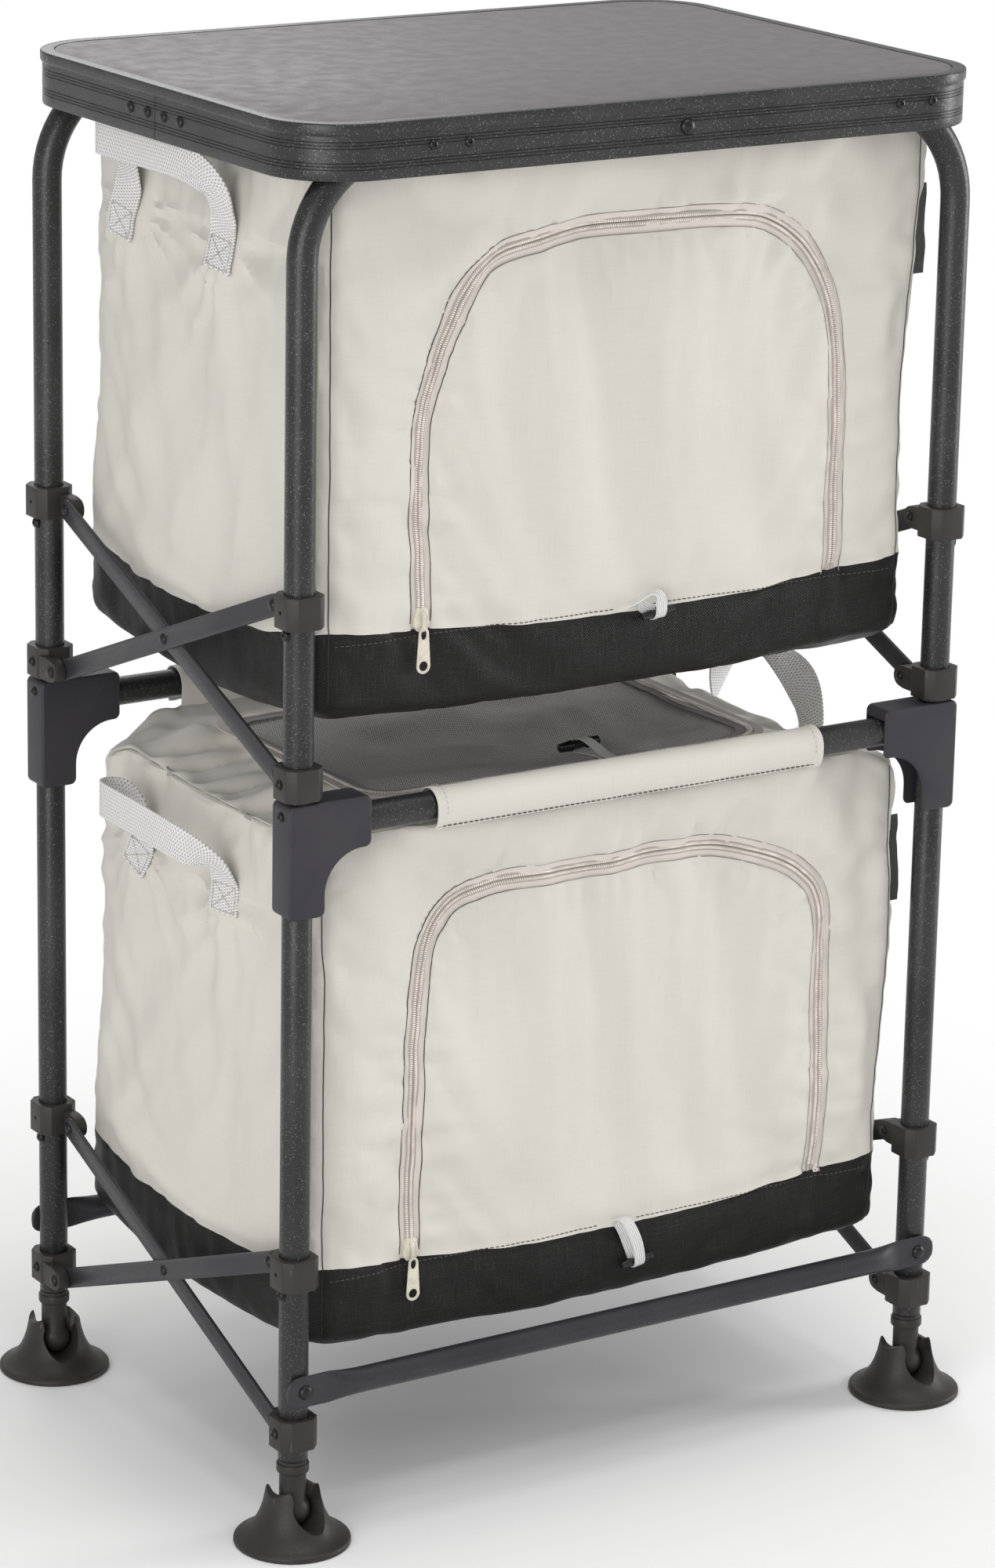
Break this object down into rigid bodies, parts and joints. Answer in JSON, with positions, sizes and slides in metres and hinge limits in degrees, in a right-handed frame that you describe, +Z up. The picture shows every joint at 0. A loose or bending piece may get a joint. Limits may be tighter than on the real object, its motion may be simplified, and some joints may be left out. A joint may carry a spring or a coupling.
{
  "type": "folding camp kitchen cupboard",
  "caption": "Free-standing camp cupboard: padded fabric compartments with zipped doors in a folding scissor frame on ball feet, under a lift-off table top.",
  "frame": {"origin": "on the floor, under the middle of the cupboard", "axes": "+X to the right as seen from the front, +Y from the front to the back, +Z up"},
  "size_m": [0.6466, 0.4626, 1.0514],
  "materials": {
    "powder_coat": "dark grey powder coat with a fine metallic sparkle",
    "bar_steel": "satin dark grey powder coat",
    "collar_plastic": "moulded, dark olive grey",
    "gusset_plastic": "moulded, dark blue grey",
    "foot_plastic": "moulded, satin",
    "board_face": "melamine-faced board, fine grey mottle",
    "fabric": "padded woven polyester, off-white with a black base band",
    "mesh_cloth": "grey open mesh",
    "zip_metal": "cream enamel"
  },
  "bodies": {
    "front_frame": {"front_upper_frame": "powder_coat", "front_mid_rail": "powder_coat", "front_stretcher": "powder_coat", "front_left_gusset": "gusset_plastic", "front_left_lower_leg": "powder_coat", "front_left_foot_stem": "foot_plastic", "front_left_lower_fixed_collar": "collar_plastic", "front_left_upper_fixed_collar": "collar_plastic", "front_right_gusset": "gusset_plastic", "front_right_lower_leg": "powder_coat", "front_right_foot_stem": "foot_plastic", "front_right_lower_fixed_collar": "collar_plastic", "front_right_upper_fixed_collar": "collar_plastic", "lower_bag_front": "fabric", "upper_bag_front": "fabric"},
    "back_frame": {"back_upper_frame": "powder_coat", "back_mid_rail": "powder_coat", "back_stretcher": "powder_coat", "back_left_gusset": "gusset_plastic", "back_left_lower_leg": "powder_coat", "back_left_foot_stem": "foot_plastic", "back_left_lower_fixed_collar": "collar_plastic", "back_left_upper_fixed_collar": "collar_plastic", "back_right_gusset": "gusset_plastic", "back_right_lower_leg": "powder_coat", "back_right_foot_stem": "foot_plastic", "back_right_lower_fixed_collar": "collar_plastic", "back_right_upper_fixed_collar": "collar_plastic", "lower_bag_back": "fabric", "upper_bag_back": "fabric", "upper_bag_tub": "fabric", "lower_bag_tub": "fabric", "upper_bag_lid": "mesh_cloth"},
    "table_top": {"table_board": "board_face", "table_rim": "powder_coat"},
    "left_lower_rising_bar": {"left_lower_rising_bar": "bar_steel"},
    "left_lower_falling_bar": {"left_lower_falling_bar": "bar_steel"},
    "back_left_lower_sliding_collar": {"back_left_lower_sliding_collar": "collar_plastic"},
    "front_left_lower_sliding_collar": {"front_left_lower_sliding_collar": "collar_plastic"},
    "right_lower_rising_bar": {"right_lower_rising_bar": "bar_steel"},
    "right_lower_falling_bar": {"right_lower_falling_bar": "bar_steel"},
    "back_right_lower_sliding_collar": {"back_right_lower_sliding_collar": "collar_plastic"},
    "front_right_lower_sliding_collar": {"front_right_lower_sliding_collar": "collar_plastic"},
    "left_upper_rising_bar": {"left_upper_rising_bar": "bar_steel"},
    "left_upper_falling_bar": {"left_upper_falling_bar": "bar_steel"},
    "back_left_upper_sliding_collar": {"back_left_upper_sliding_collar": "collar_plastic"},
    "front_left_upper_sliding_collar": {"front_left_upper_sliding_collar": "collar_plastic"},
    "right_upper_rising_bar": {"right_upper_rising_bar": "bar_steel"},
    "right_upper_falling_bar": {"right_upper_falling_bar": "bar_steel"},
    "back_right_upper_sliding_collar": {"back_right_upper_sliding_collar": "collar_plastic"},
    "front_right_upper_sliding_collar": {"front_right_upper_sliding_collar": "collar_plastic"},
    "upper_door": {"upper_bag_door": "fabric"},
    "upper_zip_pull": {"upper_zip_pull": "zip_metal"},
    "lower_door": {"lower_bag_door": "fabric"},
    "lower_zip_pull": {"lower_zip_pull": "zip_metal"},
    "lower_lid": {"lower_bag_lid": "mesh_cloth"},
    "front_left_foot_cup": {"front_left_foot_cup": "foot_plastic"},
    "front_right_foot_cup": {"front_right_foot_cup": "foot_plastic"},
    "back_left_foot_cup": {"back_left_foot_cup": "foot_plastic"},
    "back_right_foot_cup": {"back_right_foot_cup": "foot_plastic"}
  },
  "joints": [
    {"name": "table_top_lift", "type": "slide", "parent": "back_frame", "child": "table_top", "axis": [0, 0, 1], "range_m": [0, 0.06]},
    {"name": "left_lower_rising_bar_hinge", "type": "hinge", "parent": "back_frame", "child": "left_lower_rising_bar", "pos_m": [-0.28, 0.159, 0.0855], "axis": [1, 0, 0], "range_deg": [-63.1, 0]},
    {"name": "left_lower_crossing", "type": "hinge", "parent": "left_lower_rising_bar", "child": "left_lower_falling_bar", "pos_m": [-0.28, 0, 0.148], "axis": [1, 0, 0], "range_deg": [0, 126.2]},
    {"name": "back_left_lower_sliding_collar_pivot", "type": "hinge", "parent": "left_lower_falling_bar", "child": "back_left_lower_sliding_collar", "pos_m": [-0.28, 0.159, 0.2105], "axis": [1, 0, 0], "range_deg": [-63.1, 0]},
    {"name": "front_left_lower_sliding_collar_pivot", "type": "hinge", "parent": "left_lower_rising_bar", "child": "front_left_lower_sliding_collar", "pos_m": [-0.28, -0.159, 0.2105], "axis": [1, 0, 0], "range_deg": [0, 63.1]},
    {"name": "right_lower_rising_bar_hinge", "type": "hinge", "parent": "back_frame", "child": "right_lower_rising_bar", "pos_m": [0.28, 0.159, 0.0855], "axis": [1, 0, 0], "range_deg": [-63.1, 0]},
    {"name": "right_lower_crossing", "type": "hinge", "parent": "right_lower_rising_bar", "child": "right_lower_falling_bar", "pos_m": [0.28, 0, 0.148], "axis": [1, 0, 0], "range_deg": [0, 126.2]},
    {"name": "back_right_lower_sliding_collar_pivot", "type": "hinge", "parent": "right_lower_falling_bar", "child": "back_right_lower_sliding_collar", "pos_m": [0.28, 0.159, 0.2105], "axis": [1, 0, 0], "range_deg": [-63.1, 0]},
    {"name": "front_right_lower_sliding_collar_pivot", "type": "hinge", "parent": "right_lower_rising_bar", "child": "front_right_lower_sliding_collar", "pos_m": [0.28, -0.159, 0.2105], "axis": [1, 0, 0], "range_deg": [0, 63.1]},
    {"name": "fold", "type": "hinge", "parent": "back_frame", "child": "left_upper_rising_bar", "pos_m": [-0.28, 0.159, 0.581], "axis": [1, 0, 0], "range_deg": [-63.1, 0], "deforming": ["upper_bag_tub", "lower_bag_tub", "upper_bag_lid", "lower_bag_lid"]},
    {"name": "left_upper_crossing", "type": "hinge", "parent": "left_upper_rising_bar", "child": "left_upper_falling_bar", "pos_m": [-0.28, 0, 0.6435], "axis": [1, 0, 0], "range_deg": [0, 126.2]},
    {"name": "back_left_upper_sliding_collar_pivot", "type": "hinge", "parent": "left_upper_falling_bar", "child": "back_left_upper_sliding_collar", "pos_m": [-0.28, 0.159, 0.706], "axis": [1, 0, 0], "range_deg": [-63.1, 0]},
    {"name": "front_left_upper_sliding_collar_pivot", "type": "hinge", "parent": "left_upper_rising_bar", "child": "front_left_upper_sliding_collar", "pos_m": [-0.28, -0.159, 0.706], "axis": [1, 0, 0], "range_deg": [0, 63.1]},
    {"name": "front_frame_pivot", "type": "hinge", "parent": "left_upper_falling_bar", "child": "front_frame", "pos_m": [-0.28, -0.159, 0.581], "axis": [1, 0, 0], "range_deg": [-63.1, 0]},
    {"name": "right_upper_rising_bar_hinge", "type": "hinge", "parent": "back_frame", "child": "right_upper_rising_bar", "pos_m": [0.28, 0.159, 0.581], "axis": [1, 0, 0], "range_deg": [-63.1, 0]},
    {"name": "right_upper_crossing", "type": "hinge", "parent": "right_upper_rising_bar", "child": "right_upper_falling_bar", "pos_m": [0.28, 0, 0.6435], "axis": [1, 0, 0], "range_deg": [0, 126.2]},
    {"name": "back_right_upper_sliding_collar_pivot", "type": "hinge", "parent": "right_upper_falling_bar", "child": "back_right_upper_sliding_collar", "pos_m": [0.28, 0.159, 0.706], "axis": [1, 0, 0], "range_deg": [-63.1, 0]},
    {"name": "front_right_upper_sliding_collar_pivot", "type": "hinge", "parent": "right_upper_rising_bar", "child": "front_right_upper_sliding_collar", "pos_m": [0.28, -0.159, 0.706], "axis": [1, 0, 0], "range_deg": [0, 63.1]},
    {"name": "upper_door_hinge", "type": "hinge", "parent": "front_frame", "child": "upper_door", "pos_m": [0, -0.1762, 0.6763], "axis": [1, 0, 0], "range_deg": [0, 160]},
    {"name": "upper_zip_pull_swing", "type": "hinge", "parent": "front_frame", "child": "upper_zip_pull", "pos_m": [-0.176, -0.1808, 0.6763], "axis": [-1, 0, 0], "range_deg": [0, 150]},
    {"name": "lower_door_hinge", "type": "hinge", "parent": "front_frame", "child": "lower_door", "pos_m": [0, -0.1762, 0.1955], "axis": [1, 0, 0], "range_deg": [0, 125]},
    {"name": "lower_zip_pull_swing", "type": "hinge", "parent": "front_frame", "child": "lower_zip_pull", "pos_m": [-0.176, -0.1808, 0.1955], "axis": [-1, 0, 0], "range_deg": [0, 150]},
    {"name": "lower_lid_hinge", "type": "hinge", "parent": "back_frame", "child": "lower_lid", "pos_m": [0, 0.1182, 0.5365], "axis": [-1, 0, 0], "range_deg": [0, 12]},
    {"name": "front_left_foot_tilt", "type": "hinge", "parent": "front_frame", "child": "front_left_foot_cup", "pos_m": [-0.28, -0.188, 0.0255], "axis": [0.9781, 0.2079, 0], "range_deg": [-20, 20]},
    {"name": "front_right_foot_tilt", "type": "hinge", "parent": "front_frame", "child": "front_right_foot_cup", "pos_m": [0.28, -0.188, 0.0255], "axis": [0.9962, 0.0872, 0], "range_deg": [-20, 20]},
    {"name": "back_left_foot_tilt", "type": "hinge", "parent": "back_frame", "child": "back_left_foot_cup", "pos_m": [-0.28, 0.188, 0.0255], "axis": [0.9848, -0.1736, 0], "range_deg": [-20, 20]},
    {"name": "back_right_foot_tilt", "type": "hinge", "parent": "back_frame", "child": "back_right_foot_cup", "pos_m": [0.28, 0.188, 0.0255], "axis": [0.866, -0.5, 0], "range_deg": [-20, 20]}
  ],
  "couplings": [
    {"joint": "left_lower_rising_bar_hinge", "follows": "fold", "ratio": 1},
    {"joint": "left_lower_crossing", "follows": "fold", "ratio": -2},
    {"joint": "back_left_lower_sliding_collar_pivot", "follows": "fold", "ratio": 1},
    {"joint": "front_left_lower_sliding_collar_pivot", "follows": "fold", "ratio": -1},
    {"joint": "right_lower_rising_bar_hinge", "follows": "fold", "ratio": 1},
    {"joint": "right_lower_crossing", "follows": "fold", "ratio": -2},
    {"joint": "back_right_lower_sliding_collar_pivot", "follows": "fold", "ratio": 1},
    {"joint": "front_right_lower_sliding_collar_pivot", "follows": "fold", "ratio": -1},
    {"joint": "left_upper_crossing", "follows": "fold", "ratio": -2},
    {"joint": "back_left_upper_sliding_collar_pivot", "follows": "fold", "ratio": 1},
    {"joint": "front_left_upper_sliding_collar_pivot", "follows": "fold", "ratio": -1},
    {"joint": "front_frame_pivot", "follows": "fold", "ratio": 1},
    {"joint": "right_upper_rising_bar_hinge", "follows": "fold", "ratio": 1},
    {"joint": "right_upper_crossing", "follows": "fold", "ratio": -2},
    {"joint": "back_right_upper_sliding_collar_pivot", "follows": "fold", "ratio": 1},
    {"joint": "front_right_upper_sliding_collar_pivot", "follows": "fold", "ratio": -1}
  ]
}
